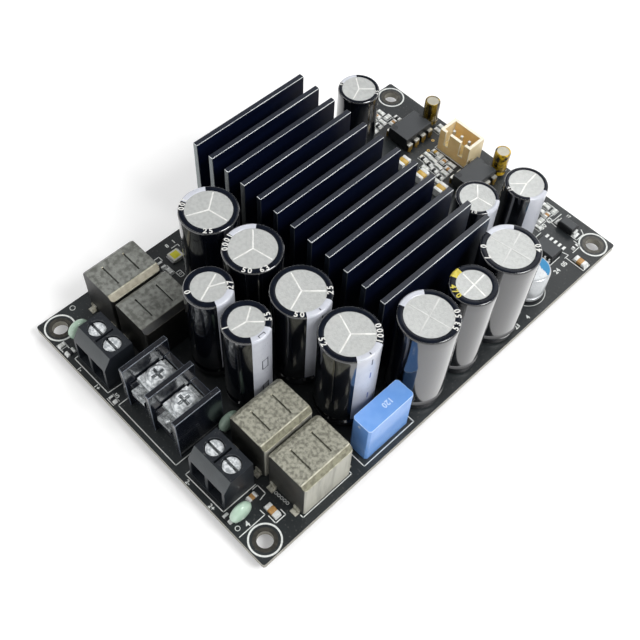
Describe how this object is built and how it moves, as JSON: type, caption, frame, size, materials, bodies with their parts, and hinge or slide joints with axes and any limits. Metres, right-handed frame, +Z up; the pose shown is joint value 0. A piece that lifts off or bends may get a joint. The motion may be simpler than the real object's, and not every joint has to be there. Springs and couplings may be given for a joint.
{
  "type": "audio amplifier board",
  "caption": "Audio power amplifier board with a finned heatsink, electrolytic cans, chokes, screw terminals, a barrier strip and an input connector.",
  "frame": {"origin": "under the middle of the board, at the level of the trimmed lead tips it stands on", "axes": "+X along the terminal edge with the terminals in front, +Y towards the input connector, +Z up"},
  "size_m": [0.075, 0.115, 0.0321],
  "materials": {
    "board": "satin slate solder mask over glass fibre",
    "heatsink": "black anodised extrusion",
    "steel_screw": "bright nickel plate",
    "thermal_pad": "soft grey silicone",
    "chip": "moulded epoxy, satin",
    "tinned": "tinned leads",
    "can": "drawn aluminium with a scored top",
    "sleeve": "black shrunk sleeve with a pale stripe",
    "bung": "black rubber",
    "gold_sleeve": "gold sleeve",
    "ferrite": "mottled ferrite",
    "terminal": "grey-black moulded plastic",
    "barrier": "glossy black moulded plastic",
    "header": "cream nylon",
    "film": "blue box",
    "mint": "mint dipped epoxy",
    "tan_chip": "tan ceramic with tinned ends",
    "black_chip": "black film on ceramic, tinned ends",
    "light": "white body with a yellow window"
  },
  "bodies": {
    "board": {"amplifier_chip": "chip", "amplifier_chip_leads": "tinned", "barrier_housing": "barrier", "barrier_tabs": "steel_screw", "bypass_can_sleeves": "gold_sleeve", "bypass_cans": "can", "can_bungs": "bung", "chip_capacitors": "tan_chip", "chip_resistors": "black_chip", "choke_1": "ferrite", "choke_2": "ferrite", "choke_3": "ferrite", "choke_4": "ferrite", "choke_feet": "tinned", "circuit_board": "board", "component_leads": "tinned", "disc_capacitors": "mint", "driver_chip": "chip", "film_capacitor": "film", "header_housing": "header", "header_pins": "tinned", "heatsink": "heatsink", "heatsink_screws": "steel_screw", "large_can_1": "can", "large_can_2": "can", "large_can_3": "can", "large_can_4": "can", "large_can_5": "can", "large_can_6": "can", "large_can_sleeves": "sleeve", "left_preamp_chip": "chip", "left_terminal_housing": "terminal", "polymer_can": "can", "polymer_can_base": "bung", "power_light": "light", "preamp_chip_leads": "tinned", "rectifier_diode": "chip", "right_preamp_chip": "chip", "right_terminal_housing": "terminal", "short_can_1": "can", "short_can_2": "can", "short_can_3": "can", "slim_can_1": "can", "slim_can_2": "can", "slim_can_3": "can", "small_can_sleeves": "sleeve", "terminal_contacts": "tinned", "thermal_pad": "thermal_pad"},
    "left_outer_screw_body": {"left_outer_screw": "steel_screw"},
    "left_outer_cage_body": {"left_outer_cage": "steel_screw"},
    "left_inner_screw_body": {"left_inner_screw": "steel_screw"},
    "left_inner_cage_body": {"left_inner_cage": "steel_screw"},
    "right_inner_screw_body": {"right_inner_screw": "steel_screw"},
    "right_inner_cage_body": {"right_inner_cage": "steel_screw"},
    "right_outer_screw_body": {"right_outer_screw": "steel_screw"},
    "right_outer_cage_body": {"right_outer_cage": "steel_screw"},
    "barrier_washer_left_body": {"barrier_washer_left": "steel_screw"},
    "barrier_screw_left_body": {"barrier_screw_left": "steel_screw"},
    "barrier_washer_right_body": {"barrier_washer_right": "steel_screw"},
    "barrier_screw_right_body": {"barrier_screw_right": "steel_screw"}
  },
  "joints": [
    {"name": "left_outer_screw_turn", "type": "hinge", "parent": "board", "child": "left_outer_screw_body", "pos_m": [-0.02204, -0.0505, 0.0126], "axis": [0, 0, -1], "range_deg": [0, 1601]},
    {"name": "left_outer_cage_rise", "type": "slide", "parent": "board", "child": "left_outer_cage_body", "axis": [0, 0, 1], "range_m": [0, 0.002]},
    {"name": "left_inner_screw_turn", "type": "hinge", "parent": "board", "child": "left_inner_screw_body", "pos_m": [-0.01696, -0.0505, 0.0126], "axis": [0, 0, -1], "range_deg": [0, 1601]},
    {"name": "left_inner_cage_rise", "type": "slide", "parent": "board", "child": "left_inner_cage_body", "axis": [0, 0, 1], "range_m": [0, 0.002]},
    {"name": "right_inner_screw_turn", "type": "hinge", "parent": "board", "child": "right_inner_screw_body", "pos_m": [0.01566, -0.0505, 0.0126], "axis": [0, 0, -1], "range_deg": [0, 1601]},
    {"name": "right_inner_cage_rise", "type": "slide", "parent": "board", "child": "right_inner_cage_body", "axis": [0, 0, 1], "range_m": [0, 0.002]},
    {"name": "right_outer_screw_turn", "type": "hinge", "parent": "board", "child": "right_outer_screw_body", "pos_m": [0.02074, -0.0505, 0.0126], "axis": [0, 0, -1], "range_deg": [0, 1601]},
    {"name": "right_outer_cage_rise", "type": "slide", "parent": "board", "child": "right_outer_cage_body", "axis": [0, 0, 1], "range_m": [0, 0.002]},
    {"name": "barrier_washer_left_rise", "type": "slide", "parent": "board", "child": "barrier_washer_left_body", "axis": [0, 0, 1], "range_m": [0, 0.0025]},
    {"name": "barrier_screw_left_turn", "type": "hinge", "parent": "barrier_washer_left_body", "child": "barrier_screw_left_body", "pos_m": [-0.00413, -0.0485, 0.0146], "axis": [0, 0, 1], "range_deg": [0, 1801]},
    {"name": "barrier_washer_right_rise", "type": "slide", "parent": "board", "child": "barrier_washer_right_body", "axis": [0, 0, 1], "range_m": [0, 0.0025]},
    {"name": "barrier_screw_right_turn", "type": "hinge", "parent": "barrier_washer_right_body", "child": "barrier_screw_right_body", "pos_m": [0.00413, -0.0485, 0.0146], "axis": [0, 0, 1], "range_deg": [0, 1801]}
  ],
  "couplings": [
    {"joint": "left_outer_screw_turn", "follows": "left_outer_cage_rise", "rad_per_m": 13963},
    {"joint": "left_inner_screw_turn", "follows": "left_inner_cage_rise", "rad_per_m": 13963},
    {"joint": "right_inner_screw_turn", "follows": "right_inner_cage_rise", "rad_per_m": 13963},
    {"joint": "right_outer_screw_turn", "follows": "right_outer_cage_rise", "rad_per_m": 13963},
    {"joint": "barrier_screw_left_turn", "follows": "barrier_washer_left_rise", "rad_per_m": 12566},
    {"joint": "barrier_screw_right_turn", "follows": "barrier_washer_right_rise", "rad_per_m": 12566}
  ]
}
